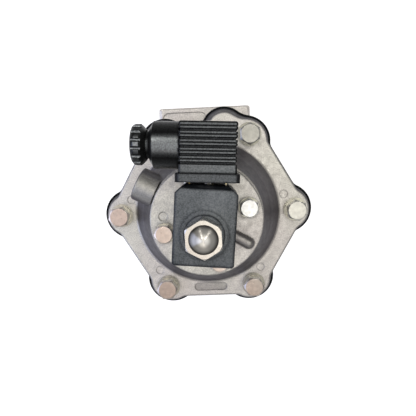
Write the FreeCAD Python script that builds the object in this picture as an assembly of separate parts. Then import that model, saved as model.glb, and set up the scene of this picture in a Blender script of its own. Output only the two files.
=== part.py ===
import FreeCAD, Part
import math
import os

from FreeCAD import Rotation, Vector

# A right-angle pulse valve for a dust collector, 1 1/2 inch ports, with a solenoid pilot.
# Millimetres. Origin: centre of the outlet's mouth, on the face that the valve stands on.
# +Z up the valve's axis to the solenoid, +Y out of the inlet port.

# Heights of the stack, from the outlet's mouth up
body_height = 87.5
membrane_thickness = 2.5
cover_flange_thickness = 6.0
cover_cone_height = 22.0
pilot_membrane_thickness = 2.0
pilot_cover_thickness = 8.0
pilot_boss_height = 7.0
tube_collar_height = 2.0
coil_height = 34.0

# Flange outline, shared by the body, the membrane and the cover
bolt_circle_radius = 56.55
bolt_count = 6
flange_side_margin = 0.15
lobe_setback = 4.55
lobe_radius = 15.1
lobe_top_radius = 12.9
bulge_setback = 2.05
bulge_angle = 76.7
bulge_radius = 13.2
bulge_top_radius = 9.7
outline_blend = 6.0
saddle_blend = 16.0
membrane_overhang = 0.9
membrane_lobe_overhang = 0.5
body_inset = 0.4
flange_edge_break = 1.2

# Valve body
body_flange_thickness = 12.0
bowl_top_radius = 49.5
bowl_radius = 48.0
bowl_floor_height = 18.0
bowl_wall = 5.0
bowl_curve_width = 16.0
bowl_curve_height = 25.0
bowl_curve_inset = 4.4
bowl_curve_rise = 8.0
chamber_floor_height = 26.0
seat_tube_radius = 25.5
passage_radius = 20.5
seat_depth = 6.0
seat_chamfer = 1.5
port_block_width = 62.0
port_block_edge = 2.5
port_thread_radius = 22.42
port_thread_length = 22.0
port_mouth_chamfer = 1.5
inlet_reach = 69.5
inlet_drop = 40.5
outlet_block_height = 22.0
outlet_block_corner = 10.0
boss_radius = 9.8
boss_foot_radius = 8.5
boss_length = 15.0
bolt_hole_depth = 19.0
bleed_radius = 2.0
bleed_slant = 0.85
bleed_foot_clearance = 3.0
bleed_foot_rise = 14.0
port_panel_length = 30.0
port_panel_width = 9.0
port_panel_depth = 0.6

# Main cover
cone_foot_radius = 46.2
cone_top_radius = 33.8
cover_wall = 4.4
cover_chamber_radius = 42.0
spring_seat_drop = 3.5
spring_seat_inner_radius = 13.2
spring_seat_outer_radius = 18.6
duct_height = 19.5
duct_angle = 152.5
duct_radius = 6.5
duct_bore_radius = 4.5
spout_radius = 10.4
spout_reach = 47.0
spout_edge = 1.2
exhaust_radius = 5.75
exhaust_depth = 8.0
pilot_chamber_radius = 20.0
pilot_chamber_depth = 6.0
nozzle_radius = 7.5
nozzle_drop = 1.0
feed_hole_radius = 2.0
feed_hole_distance = 10.0
vent_distance = 25.5
vent_radius = 1.5
stadium_length = 21.6
stadium_width = 5.2
stadium_depth = 0.5
stadium_distance = 50.2
mark_radius = 2.6
mark_depth = 0.3
mark_distance = 50.5
mark_offset = 11.5

# Pilot cover
pilot_cover_radius = 32.7
pilot_cover_edge = 0.8
pilot_bolt_distance = 25.0
pilot_bolt_count = 4
pilot_bolt_angle = 15.0
pilot_boss_radius = 13.0
rib_angle = 329.0
rib_radius = 3.3
rib_reach = 30.8
pilot_ceiling_depth = 4.6
pilot_pocket_radius = 6.5
rib_channel_lift = 0.9
rib_channel_radius = 1.2
armature_nozzle_radius = 2.4
armature_nozzle_bore = 0.9
armature_nozzle_height = 1.8
tube_pocket_radius = 10.3
tube_pocket_depth = 4.4
ring_groove_radius = 12.1
ring_groove_depth = 1.4
ring_section_radius = 0.75
pilot_feed_distance = 8.3
pilot_feed_radius = 1.0
pilot_mark_angle = 173.0
pilot_mark_distance = 24.9

# Membranes and what moves with them
main_lift = 8.0
main_dish_radius = 29.0
main_plate_radius = 27.0
main_plate_thickness = 3.0
lower_plate_clearance = 1.0
lower_plate_thickness = 3.5
main_rivet_radius = 4.0
main_rivet_head_radius = 8.0
main_rivet_head = 2.6
pilot_lift = 2.5
pilot_dish_radius = 15.5
pilot_plate_radius = 14.0
pilot_plate_thickness = 2.0
pilot_rivet_radius = 2.0
pilot_rivet_head_radius = 3.6
pilot_rivet_head = 1.2
rivet_fit = 0.05
moving_gap = 0.3

# Guide tube, fixed core and armature
tube_radius = 6.5
tube_bore_radius = 5.5
tube_height = 25.0
tube_neck_clearance = 0.1
tube_neck_length = 3.5
tube_collar_width = 24.0
tube_collar_angle = 10.0
core_insert_length = 8.0
dome_height = 2.7
armature_clearance = 0.1
armature_travel = 1.8
armature_slot_width = 2.0
armature_slot_depth = 0.9
armature_pocket_radius = 2.7
armature_pocket_depth = 9.0
armature_seal_radius = 2.9
armature_seal_thickness = 2.4
armature_seal_proud = 0.2
shading_inner_radius = 3.3
shading_outer_radius = 4.5
shading_depth = 1.6

# Springs: wire radius, mean coil radius, turns, and the room left for a spring when its piston is lifted
main_spring_wire = 0.8
main_spring_radius = 15.8
main_spring_turns = 3.5
main_spring_solid = 7.5
pilot_spring_wire = 0.35
pilot_spring_radius = 5.4
pilot_spring_turns = 3.0
pilot_spring_solid = 3.1
armature_spring_wire = 0.3
armature_spring_radius = 2.1
armature_spring_turns = 7.0

# Fasteners
m8_radius = 4.0
m8_head_width = 12.0
m8_head_height = 5.2
m8_length = 25.0
m6_radius = 3.0
m6_head_width = 10.0
m6_head_height = 4.0
m6_length = 18.0
bolt_clearance = 0.5
thread_clearance = 0.1
head_flat_share = 0.46
nut_flat_share = 0.53
head_chamfer_angle = 30.0
flat_washer_radius = 7.5
flat_washer_thickness = 1.2
spring_washer_radius = 7.0
spring_washer_thickness = 2.0
small_washer_radius = 5.9
small_washer_thickness = 1.6
washer_slit = 1.2
washer_turn = 70.0
m8_first_turn = 39.0
m8_turn_step = -9.0
m6_first_turn = 30.0
m6_turn_step = 17.0
coil_nut_width = 16.0
coil_nut_height = 8.8
coil_nut_angle = 31.0
nut_washer_radius = 9.6
nut_washer_thickness = 1.2

# Coil, turned a little off square as it is clamped
coil_turn = -5.5
coil_width = 29.2
coil_front = 15.2
coil_back = 21.3
coil_edge = 1.6
coil_back_bevel = 2.3
coil_rim_edge = 0.7
coil_bore_clearance = 0.1
coil_ring_radius = 11.5
coil_ring_height = 0.4
tower_reach = 22.5
tower_width = 25.0
tower_height = 24.0
tower_bevel = 2.5

# Plug connector on the coil's back
plug_gap = 1.5
plug_turn = 2.0
seal_wall = 2.4
seal_thickness = 4.0
seal_floor = 1.4
seal_corner = 2.5
housing_step = 0.9
housing_length = 23.9
housing_wall = 2.2
housing_edge = 1.2
rib_start = 4.8
rib_pitch = 3.77
rib_count = 5
deep_groove_width = 1.3
deep_groove_depth = 0.9
fine_groove_width = 0.6
fine_groove_depth = 0.4
neck_radius = 11.6
neck_length = 14.7
neck_taper = 2.0
neck_taper_drop = 3.4
neck_position = 13.0
cable_way_radius = 5.2
nipple_radius = 6.6
nipple_length = 6.2
gland_nut_radius = 10.0
gland_nut_length = 7.0
gland_nut_gap = 1.8
gland_nut_wall = 1.8
gland_flutes = 16
gland_flute_radius = 1.0
gland_mouth_radius = 4.3
grommet_bore_radius = 3.3
grommet_length = 4.6
gland_ring_thickness = 0.8
blade_thickness = 0.8
blade_width = 6.3
blade_spacing = 18.0
blade_length = 11.0
blade_root = 3.0
blade_clearance = 0.45
block_edge = 1.0
block_clearance = 0.5
block_length = 17.0
plug_screw_radius = 1.5
plug_screw_head_radius = 3.0
plug_screw_head = 2.2
plug_screw_grip = 5.0
screw_hole_clearance = 0.25
terminal_screw_radius = 1.6
terminal_screw_length = 4.0

# Places round the rim that follow from the bolt circle
flange_side_distance = bolt_circle_radius + flange_side_margin
lobe_distance = bolt_circle_radius - lobe_setback
bulge_distance = bolt_circle_radius - bulge_setback

# Widths of the plug that follow from its contacts
block_width = blade_spacing + 2 * block_edge
skirt_width = block_width + 2 * (block_clearance + housing_wall)
housing_width = skirt_width + 2 * housing_step
seal_width = skirt_width + 2 * seal_wall

# Levels that follow from the stack
cover_foot = body_height + membrane_thickness
flange_top = cover_foot + cover_flange_thickness
cover_top = flange_top + cover_cone_height
pilot_foot = cover_top + pilot_membrane_thickness
pilot_top = pilot_foot + pilot_cover_thickness
boss_top = pilot_top + pilot_boss_height
coil_foot = boss_top + tube_collar_height
coil_top = coil_foot + coil_height
plug_height = (coil_foot + coil_top) / 2
seat_height = body_height - seat_depth
main_plate_foot = seat_height + membrane_thickness
main_plate_top = main_plate_foot + main_plate_thickness
spring_seat = main_plate_top + main_lift + main_spring_solid
main_ceiling = spring_seat + spring_seat_drop
duct_level = cover_foot + duct_height
pilot_seat = cover_top - nozzle_drop
pilot_plate_foot = pilot_seat + pilot_membrane_thickness
pilot_plate_top = pilot_plate_foot + pilot_plate_thickness
pilot_pocket_top = pilot_plate_top + pilot_lift + pilot_spring_solid
rib_channel_level = pilot_top + rib_channel_lift
tube_pocket_floor = boss_top - tube_pocket_depth
armature_seat = tube_pocket_floor + armature_nozzle_height
armature_foot = armature_seat + armature_seal_proud
tube_top = coil_foot + tube_height
core_foot = tube_top - core_insert_length
armature_top = core_foot - armature_travel
armature_pocket_floor = armature_top - armature_pocket_depth
nut_foot = coil_top + nut_washer_thickness
nut_top = nut_foot + coil_nut_height
inlet_level = body_height - inlet_drop
block_top = inlet_level + port_block_width / 2
block_bottom = inlet_level - port_block_width / 2
plug_foot = tower_reach + plug_gap
housing_foot = plug_foot + seal_thickness
housing_end = housing_foot + housing_length
neck_line = housing_foot + neck_position
neck_end = housing_width / 2 + neck_length
block_foot = plug_foot + seal_floor
overlap = 1.0

UP = Vector(0, 0, 1)
ACROSS = Vector(1, 0, 0)
OUT = Vector(0, 1, 0)


def polar(distance, angle, level=0.0):
    """A point at that distance and angle round the valve's axis."""
    turn = math.radians(angle)
    return Vector(distance * math.cos(turn), distance * math.sin(turn), level)


def disc(radius, low, high, at=Vector(0, 0, 0)):
    """An upright cylinder from one level to another."""
    return Part.makeCylinder(radius, high - low, Vector(at.x, at.y, low), UP)


def ring(outer, inner, low, high, at=Vector(0, 0, 0)):
    return disc(outer, low, high, at).cut(disc(inner, low, high, at))


def rod(radius, start, end):
    """A cylinder between two points."""
    way = end - start
    return Part.makeCylinder(radius, way.Length, start, way)


def block(x_low, x_high, y_low, y_high, z_low, z_high):
    corner = Vector(x_low, y_low, z_low)
    return Part.makeBox(x_high - x_low, y_high - y_low, z_high - z_low, corner)


def fillet_along(shape, direction, radius):
    """Rounds every straight edge of a shape that runs along a direction."""
    edges = []
    for edge in shape.Edges:
        if isinstance(edge.Curve, Part.Line):
            if abs(abs(edge.tangentAt(edge.FirstParameter).dot(direction)) - 1) < 1e-6:
                edges.append(edge)
    return shape.makeFillet(radius, edges)


def edges_at(shape, level, direction=UP):
    """The edges that lie wholly in one plane across a direction."""
    found = []
    for edge in shape.Edges:
        points = edge.discretize(5)
        if all(abs(point.dot(direction) - level) < 1e-4 for point in points):
            found.append(edge)
    return found


def turned(points, axis_point=Vector(0, 0, 0), axis=UP):
    """A solid of revolution. Points are (radius, height); a middle point marked 'arc' bends the next edge."""
    edges = []
    start = points[0]
    index = 1
    closed = points + [points[0]]
    while index < len(closed):
        point = closed[index]
        if point[0] == "arc":
            through = Vector(point[1], 0, point[2])
            end = closed[index + 1]
            arc = Part.Arc(Vector(start[0], 0, start[1]), through, Vector(end[0], 0, end[1]))
            edges.append(arc.toShape())
            index += 1
        else:
            end = point
            edges.append(Part.makeLine(Vector(start[0], 0, start[1]), Vector(end[0], 0, end[1])))
        start = end
        index += 1
    face = Part.Face(Part.Wire(edges))
    solid = face.revolve(Vector(0, 0, 0), UP, 360)
    solid.Placement = FreeCAD.Placement(axis_point, Rotation(UP, axis))
    return solid


def cap(radius, low, rise):
    """The two last points of a round cap that closes on the axis, the first of them an arc's middle."""
    sphere = (radius**2 + rise**2) / (2 * rise)
    middle = math.sqrt(sphere**2 - radius**2 / 4) - sphere + rise
    return [("arc", radius / 2, low + middle), (0, low + rise)]


def hexagon(width, low, high, angle=0.0):
    """A six-sided prism, its width across the flats, with a corner at that angle."""
    corner = width / math.sqrt(3)
    points = [polar(corner, angle + 60 * side, low) for side in range(7)]
    return Part.Face(Part.makePolygon(points)).extrude(UP * (high - low))


def chamfered_hexagon(width, low, high, flat_share, angle, both_ends):
    """A hexagon with its corners turned off at the top, or at both ends, as on a bolt head or a nut."""
    corner = width / math.sqrt(3)
    flat = flat_share * width
    drop = (corner - flat) * math.tan(math.radians(head_chamfer_angle))
    points = [(0, low), (corner, low), (corner, high - drop), (flat, high), (0, high)]
    if both_ends:
        points = [(0, low), (flat, low), (corner, low + drop)] + points[2:]
    return hexagon(width, low, high, angle).common(turned(points))


def one(shape, *others):
    """One solid fused from several that meet."""
    return shape.multiFuse(list(others)).removeSplitter()


def circle_line_blend(centre, radius, normal, distance, blend, side):
    """The centre of a hollow blend between a lobe and a straight side, and where it leaves each."""
    along = Vector(-normal.y, normal.x, 0)
    reach = radius + blend
    rise = distance + blend - centre.dot(normal)
    slide = centre.dot(along) + side * math.sqrt(reach * reach - rise * rise)
    middle = normal * (distance + blend) + along * slide
    on_line = middle - normal * blend
    on_lobe = centre + (middle - centre) * (radius / reach)
    return middle, on_lobe, on_line


def circle_circle_blend(first, first_radius, second, second_radius, blend):
    """The centre of a hollow blend between two lobes, on the side away from the axis, and where it leaves each."""
    gap = second - first
    one_reach = first_radius + blend
    two_reach = second_radius + blend
    along = (one_reach**2 - two_reach**2 + gap.Length**2) / (2 * gap.Length)
    aside = math.sqrt(one_reach**2 - along**2)
    way = gap / gap.Length
    normal = Vector(way.y, -way.x, 0)
    if normal.dot(first + second) < 0:
        normal = normal * -1
    middle = first + way * along + normal * aside
    on_first = first + (middle - first) * (first_radius / one_reach)
    on_second = second + (middle - second) * (second_radius / two_reach)
    return middle, on_first, on_second


def arc_about(centre, start, end, outward=None):
    """An arc about a centre by the short way, or by the way that passes a direction."""
    middle = (start - centre) + (end - centre)
    if outward is not None and middle.dot(outward) < 0:
        middle = middle * -1
    middle.normalize()
    return Part.Arc(start, centre + middle * (start - centre).Length, end).toShape()


def flange_outline(grow, lobe, bulge, level):
    """The lobed outline: straight sides, a lobe round each bolt, and one bulge for the bleed passage."""
    side = flange_side_distance + grow
    step = 360.0 / bolt_count
    lobes = [(polar(lobe_distance, step * k), lobe + grow) for k in range(bolt_count)]
    lobes.insert(2, (polar(bulge_distance, bulge_angle), bulge + grow))
    normals = [polar(1, step * (k + 0.5)) for k in range(bolt_count)]
    normals.insert(1, None)
    joins = []
    for k, normal in enumerate(normals):
        here, here_radius = lobes[k]
        after, after_radius = lobes[(k + 1) % len(lobes)]
        if normal is None:
            blend = circle_circle_blend(here, here_radius, after, after_radius, saddle_blend)
            joins.append((blend[1], [arc_about(*blend)], blend[2]))
            continue
        leave = circle_line_blend(here, here_radius, normal, side, outline_blend, 1)
        enter = circle_line_blend(after, after_radius, normal, side, outline_blend, -1)
        edges = [
            arc_about(leave[0], leave[1], leave[2]),
            Part.makeLine(leave[2], enter[2]),
            arc_about(enter[0], enter[2], enter[1]),
        ]
        joins.append((leave[1], edges, enter[1]))
    edges = []
    for k, (start, between, end) in enumerate(joins):
        centre = lobes[k][0]
        edges.append(arc_about(centre, joins[k - 1][2], start, centre))
        edges.extend(between)
    wire = Part.Wire(Part.__sortEdges__(edges))
    wire.translate(UP * level)
    return wire


def flange_plate(grow, lobe, bulge, low, high):
    return Part.Face(flange_outline(grow, lobe, bulge, low)).extrude(UP * (high - low))


def bolt_places(level=0.0):
    return [polar(bolt_circle_radius, 360.0 / bolt_count * k, level) for k in range(bolt_count)]


def pilot_bolt_places(level=0.0):
    step = 360.0 / pilot_bolt_count
    return [polar(pilot_bolt_distance, pilot_bolt_angle + step * k, level) for k in range(pilot_bolt_count)]


def bleed_place():
    return polar(bulge_distance, bulge_angle)


def stadium(length, width, centre, low, high):
    """A slot shape with round ends that runs along X."""
    half = (length - width) / 2
    middle = block(-half, half, -width / 2, width / 2, low, high)
    ends = [disc(width / 2, low, high, Vector(side * half, 0, 0)) for side in (-1, 1)]
    shape = one(middle, *ends)
    shape.translate(centre)
    return shape


def valve_body():
    """The die-cast body: flange, bowl, seat tube and two threaded ports at a right angle."""
    flange_foot = body_height - body_flange_thickness
    plate = flange_plate(-body_inset, lobe_radius, bulge_radius, flange_foot, body_height)
    bowl = turned(
        [
            (0, bowl_floor_height),
            (bowl_radius - bowl_curve_width, bowl_floor_height),
            ("arc", bowl_radius - bowl_curve_inset, bowl_floor_height + bowl_curve_rise),
            (bowl_radius, bowl_floor_height + bowl_curve_height),
            (bowl_top_radius, flange_foot + overlap),
            (0, flange_foot + overlap),
        ]
    )
    half = port_block_width / 2
    inlet_block = block(-half, half, passage_radius, inlet_reach, block_bottom, block_top)
    inlet_block = fillet_along(inlet_block, OUT, port_block_edge)
    inlet_block = inlet_block.makeFillet(port_block_edge * 0.6, edges_at(inlet_block, inlet_reach, OUT))
    outlet_block = block(-half, half, -half, half, 0, outlet_block_height)
    outlet_block = fillet_along(outlet_block, UP, outlet_block_corner)
    bosses = []
    for place in bolt_places():
        boss = Part.makeCone(
            boss_foot_radius,
            boss_radius,
            boss_length + overlap,
            Vector(place.x, place.y, flange_foot - boss_length),
        )
        bosses.append(boss.makeFillet(port_block_edge, edges_at(boss, flange_foot - boss_length)))
    cast = one(plate, bowl, inlet_block, outlet_block, *bosses)

    chamber_radius = bowl_radius - bowl_wall
    chamber = turned(
        [
            (seat_tube_radius, chamber_floor_height + 4),
            ("arc", seat_tube_radius + 1.2, chamber_floor_height + 1.2),
            (seat_tube_radius + 4, chamber_floor_height),
            (chamber_radius - 7, chamber_floor_height),
            ("arc", chamber_radius - 1.9, chamber_floor_height + 3),
            (chamber_radius, chamber_floor_height + 10),
            (chamber_radius, body_height + overlap),
            (0, body_height + overlap),
            (0, seat_height),
            (seat_tube_radius - seat_chamfer, seat_height),
            (seat_tube_radius, seat_height - seat_chamfer),
        ]
    )
    outlet = one(
        disc(passage_radius, 0, seat_height + overlap),
        disc(port_thread_radius, -overlap, port_thread_length),
    )
    inlet_mouth = Vector(0, inlet_reach, inlet_level)
    inlet = one(
        rod(passage_radius, Vector(0, seat_tube_radius + 4, inlet_level), inlet_mouth),
        rod(port_thread_radius, inlet_mouth - OUT * port_thread_length, inlet_mouth + OUT),
        mouth_cone(inlet_mouth, OUT * -1),
    )
    holes = [
        disc(m8_radius + thread_clearance, body_height - bolt_hole_depth, body_height + overlap, place)
        for place in bolt_places()
    ]
    bleed_top = bleed_place() + UP * (body_height + overlap)
    bleed_foot = Vector(
        bleed_top.x * bleed_slant,
        inlet_reach - port_thread_length - bleed_foot_clearance,
        inlet_level + bleed_foot_rise,
    )
    bleed = rod(bleed_radius, bleed_foot, bleed_top)
    panel = stadium(
        port_panel_length,
        port_panel_width,
        Vector(port_panel_length / 2 - half + port_block_edge, inlet_reach - 3.2 - port_panel_width / 2, 0),
        block_top - port_panel_depth,
        block_top + overlap,
    )
    for cut in [chamber, outlet, inlet, bleed, panel] + holes:
        cast = cast.cut(cut)
    return cast.removeSplitter()


def mouth_cone(mouth, inward):
    """The chamfer at the inlet's mouth."""
    wide = port_thread_radius + port_mouth_chamfer
    return Part.makeCone(wide, port_thread_radius, port_mouth_chamfer, mouth, inward)


def main_membrane():
    """The rubber membrane: its rim is clamped in the flange and its dish rests on the seat."""
    lobe = lobe_radius + membrane_lobe_overhang
    bulge = bulge_radius + membrane_lobe_overhang
    rim = flange_plate(membrane_overhang, lobe, bulge, body_height, cover_foot)
    clamp = bowl_radius - bowl_wall - 1
    rim = rim.cut(disc(clamp - overlap, body_height, cover_foot))
    low = seat_height
    high = seat_height + membrane_thickness
    hole = main_rivet_radius + moving_gap
    bend = (clamp + main_dish_radius) / 2
    dish = turned(
        [
            (hole, low),
            (main_dish_radius, low),
            ("arc", bend + 1.2, low + seat_depth * 0.42),
            (clamp, body_height),
            (clamp, cover_foot),
            ("arc", bend - 1.2, high + seat_depth * 0.58),
            (main_dish_radius, high),
            (hole, high),
        ]
    )
    sheet = one(rim, dish)
    for place in bolt_places():
        sheet = sheet.cut(disc(m8_radius + bolt_clearance, low, high + seat_depth, place))
    return sheet.cut(disc(bleed_radius, low, high + seat_depth, bleed_place()))


def main_cover():
    """The die-cast cover: lobed flange, cone, exhaust spout and the pilot's chamber and nozzle."""
    levels = [
        (0, lobe_radius, bulge_radius, cover_foot),
        (0, lobe_top_radius + flange_edge_break, bulge_top_radius + flange_edge_break,
         flange_top - flange_edge_break),
        (-flange_edge_break * 0.3, lobe_top_radius + flange_edge_break * 0.6,
         bulge_top_radius + flange_edge_break * 0.6, flange_top - flange_edge_break * 0.3),
        (-flange_edge_break, lobe_top_radius + flange_edge_break,
         bulge_top_radius + flange_edge_break, flange_top),
    ]
    plate = Part.makeLoft([flange_outline(*level) for level in levels], True, True)
    cone = turned(
        [
            (0, flange_top - overlap),
            (cone_foot_radius + 1.2, flange_top - overlap),
            (cone_foot_radius + 1.2, flange_top),
            ("arc", cone_foot_radius + 0.1, flange_top + 0.35),
            (cone_foot_radius - 0.7, flange_top + 1.24),
            (cone_top_radius, cover_top),
            (0, cover_top),
        ]
    )
    spout_start = polar(cone_top_radius + moving_gap, duct_angle, duct_level)
    spout_mouth = polar(spout_reach, duct_angle, duct_level)
    spout = rod(spout_radius, spout_start, spout_mouth)
    spout = spout.makeFillet(spout_edge, edges_at(spout, spout_reach, polar(1, duct_angle)))
    cast = one(plate, cone, spout)

    slope = (cone_foot_radius - cone_top_radius) / cover_cone_height
    ceiling_radius = cone_foot_radius - cover_wall - slope * (main_ceiling - flange_top) - 1.0
    chamber = turned(
        [
            (0, cover_foot - overlap),
            (cover_chamber_radius, cover_foot - overlap),
            (cover_chamber_radius, flange_top - 2),
            (ceiling_radius + 2, main_ceiling - 2),
            ("arc", ceiling_radius + 0.9, main_ceiling - 0.6),
            (ceiling_radius - 1, main_ceiling),
            (0, main_ceiling),
        ]
    )
    duct_end = polar(ceiling_radius + duct_radius, duct_angle, duct_level)
    duct = rod(duct_radius, Vector(0, 0, duct_level), duct_end)
    spring_ring = ring(spring_seat_outer_radius, spring_seat_inner_radius, spring_seat, main_ceiling)
    chamber = chamber.cut(duct).cut(spring_ring)
    pilot_chamber = disc(pilot_chamber_radius, cover_top - pilot_chamber_depth, cover_top + overlap)
    pilot_chamber = pilot_chamber.cut(disc(nozzle_radius, duct_level, pilot_seat)).cut(duct)

    mouth_way = polar(1, duct_angle)
    cuts = [
        chamber,
        pilot_chamber,
        disc(duct_bore_radius, duct_level, cover_top + overlap),
        rod(duct_bore_radius, Vector(0, 0, duct_level), spout_mouth),
        rod(exhaust_radius, spout_mouth - mouth_way * exhaust_depth, spout_mouth + mouth_way),
        Part.makeSphere(duct_bore_radius, Vector(0, 0, duct_level)),
        rod(vent_radius, Vector(0, 0, duct_level), polar(vent_distance, rib_angle, duct_level)),
        disc(vent_radius, duct_level, cover_top + overlap, polar(vent_distance, rib_angle)),
    ]
    for side in (90, 270):
        place = polar(feed_hole_distance, duct_angle + side)
        cuts.append(disc(feed_hole_radius, spring_seat - overlap, cover_top, place))
    for place in bolt_places():
        cuts.append(disc(m8_radius + bolt_clearance, cover_foot - overlap, flange_top + overlap, place))
    for place in pilot_bolt_places():
        cuts.append(disc(m6_radius + thread_clearance, main_ceiling + 2.5, cover_top + overlap, place))
    bleed = bleed_place()
    inner = bleed * ((cover_chamber_radius - overlap) / bleed.Length)
    cuts.append(rod(bleed_radius, inner + UP * cover_foot, bleed + UP * cover_foot))
    cuts.append(Part.makeSphere(bleed_radius, bleed + UP * cover_foot))
    cuts.append(
        stadium(
            stadium_length,
            stadium_width,
            Vector(0, -stadium_distance, 0),
            flange_top - stadium_depth,
            flange_top + overlap,
        )
    )
    for angle in (0, 180, 240, 300):
        side = 1 if angle in (0, 300) else -1
        place = polar(mark_distance, angle + side * mark_offset)
        cuts.append(disc(mark_radius, flange_top - mark_depth, flange_top + overlap, place))
    for cut in cuts:
        cast = cast.cut(cut)
    return cast.removeSplitter()


def hex_bolt(radius, width, height, length, place, angle):
    """A hexagon-head bolt whose head stands on the level of its place. The thread is left plain."""
    head = chamfered_hexagon(width, 0, height, head_flat_share, angle, False)
    shank = disc(radius, -length, overlap / 2)
    shank = shank.makeChamfer(radius * 0.2, edges_at(shank, -length))
    bolt = one(head, shank)
    bolt.translate(place)
    return bolt


def split_washer(outer, inner, thickness, place, angle):
    """A spring washer, cut through on one side."""
    washer = ring(outer, inner, 0, thickness)
    slit = block(0, outer + overlap, -washer_slit / 2, washer_slit / 2, -overlap, thickness + overlap)
    slit.rotate(Vector(0, 0, 0), UP, angle)
    washer = washer.cut(slit)
    washer.translate(place)
    return washer


def cover_fasteners():
    """Six bolts, with a flat and a spring washer under each head."""
    washer_top = flange_top + flat_washer_thickness
    head_foot = washer_top + spring_washer_thickness
    inner = m8_radius + thread_clearance
    flat = []
    split = []
    bolts = []
    for k, place in enumerate(bolt_places()):
        flat.append(ring(flat_washer_radius, inner + 0.2, flange_top, washer_top, place))
        split.append(
            split_washer(
                spring_washer_radius, inner, spring_washer_thickness, place + UP * washer_top, washer_turn * k
            )
        )
        angle = m8_first_turn + m8_turn_step * k
        bolts.append(
            hex_bolt(m8_radius, m8_head_width, m8_head_height, m8_length, place + UP * head_foot, angle)
        )
    return Part.makeCompound(bolts), Part.makeCompound(flat), Part.makeCompound(split)


def pilot_fasteners():
    """Four small bolts and their spring washers."""
    head_foot = pilot_top + small_washer_thickness
    inner = m6_radius + thread_clearance
    washers = []
    bolts = []
    for k, place in enumerate(pilot_bolt_places()):
        washers.append(
            split_washer(small_washer_radius, inner, small_washer_thickness, place + UP * pilot_top, washer_turn * k)
        )
        angle = m6_first_turn + m6_turn_step * k
        bolts.append(
            hex_bolt(m6_radius, m6_head_width, m6_head_height, m6_length, place + UP * head_foot, angle)
        )
    return Part.makeCompound(bolts), Part.makeCompound(washers)


def coil_spring(wire, radius, turns, low, high):
    """A compression spring: a round wire swept along a helix between two levels."""
    length = high - low - 2 * wire
    path = Part.makeHelix(length / turns, length, radius)
    path.translate(UP * (low + wire))
    start = Vector(radius, 0, low + wire)
    pitch_angle = math.atan2(length / turns, 2 * math.pi * radius)
    way = Vector(0, math.cos(pitch_angle), math.sin(pitch_angle))
    section = Part.Wire(Part.Circle(start, way, wire).toShape())
    return Part.Wire(path).makePipeShell([section], True, True)


def pilot_cover():
    """The round cover of the pilot: rib over the vent channel, boss for the guide tube and armature nozzle."""
    plate = disc(pilot_cover_radius, pilot_foot, pilot_top)
    plate = plate.makeFillet(pilot_cover_edge, edges_at(plate, pilot_top))
    boss = disc(pilot_boss_radius, pilot_foot, boss_top)
    boss = boss.makeChamfer(pilot_cover_edge, edges_at(boss, boss_top))
    rib_end = polar(rib_reach - rib_radius, rib_angle, pilot_top)
    rib = rod(rib_radius, Vector(0, 0, pilot_top), rib_end)
    rib_tip = Part.makeSphere(rib_radius, rib_end)
    cast = one(plate, boss, rib, rib_tip)

    ceiling = pilot_foot + pilot_ceiling_depth
    pocket = disc(tube_pocket_radius, tube_pocket_floor, boss_top + overlap)
    pocket = pocket.cut(disc(armature_nozzle_radius, tube_pocket_floor, armature_seat))
    channel_end = polar(vent_distance, rib_angle, rib_channel_level)
    cuts = [
        disc(pilot_chamber_radius, pilot_foot - overlap, ceiling),
        disc(pilot_pocket_radius, pilot_foot - overlap, pilot_pocket_top),
        pocket,
        disc(ring_groove_radius, boss_top - ring_groove_depth, boss_top + overlap),
        disc(armature_nozzle_bore, rib_channel_level, armature_seat + overlap),
        rod(rib_channel_radius, Vector(0, 0, rib_channel_level), channel_end),
        disc(rib_channel_radius, pilot_foot - overlap, rib_channel_level, channel_end),
    ]
    for side in (90, 270):
        place = polar(pilot_feed_distance, rib_angle + side)
        cuts.append(disc(pilot_feed_radius, ceiling - overlap, tube_pocket_floor + overlap, place))
    for place in pilot_bolt_places():
        cuts.append(disc(m6_radius + bolt_clearance, pilot_foot - overlap, pilot_top + overlap, place))
    mark = polar(pilot_mark_distance, pilot_mark_angle)
    cuts.append(disc(mark_radius, pilot_top - mark_depth, pilot_top + overlap, mark))
    for cut in cuts:
        cast = cast.cut(cut)
    return cast.removeSplitter()


def pilot_membrane():
    """The small rubber membrane, which opens and shuts the exhaust nozzle."""
    low = pilot_seat
    high = pilot_plate_foot
    bend = (pilot_dish_radius + pilot_chamber_radius) / 2
    sheet = turned(
        [
            (pilot_rivet_radius + moving_gap, low),
            (pilot_dish_radius, low),
            ("arc", bend + 0.25, low + nozzle_drop * 0.42),
            (pilot_chamber_radius - 0.5, cover_top),
            (pilot_cover_radius + 0.2, cover_top),
            (pilot_cover_radius + 0.2, pilot_foot),
            (pilot_chamber_radius - 0.5, pilot_foot),
            ("arc", bend - 0.25, high + nozzle_drop * 0.58),
            (pilot_dish_radius, high),
            (pilot_rivet_radius + moving_gap, high),
        ]
    )
    for place in pilot_bolt_places():
        sheet = sheet.cut(disc(m6_radius + bolt_clearance, low, high + overlap, place))
    return sheet.cut(disc(vent_radius, low, high + overlap, polar(vent_distance, rib_angle)))


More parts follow.
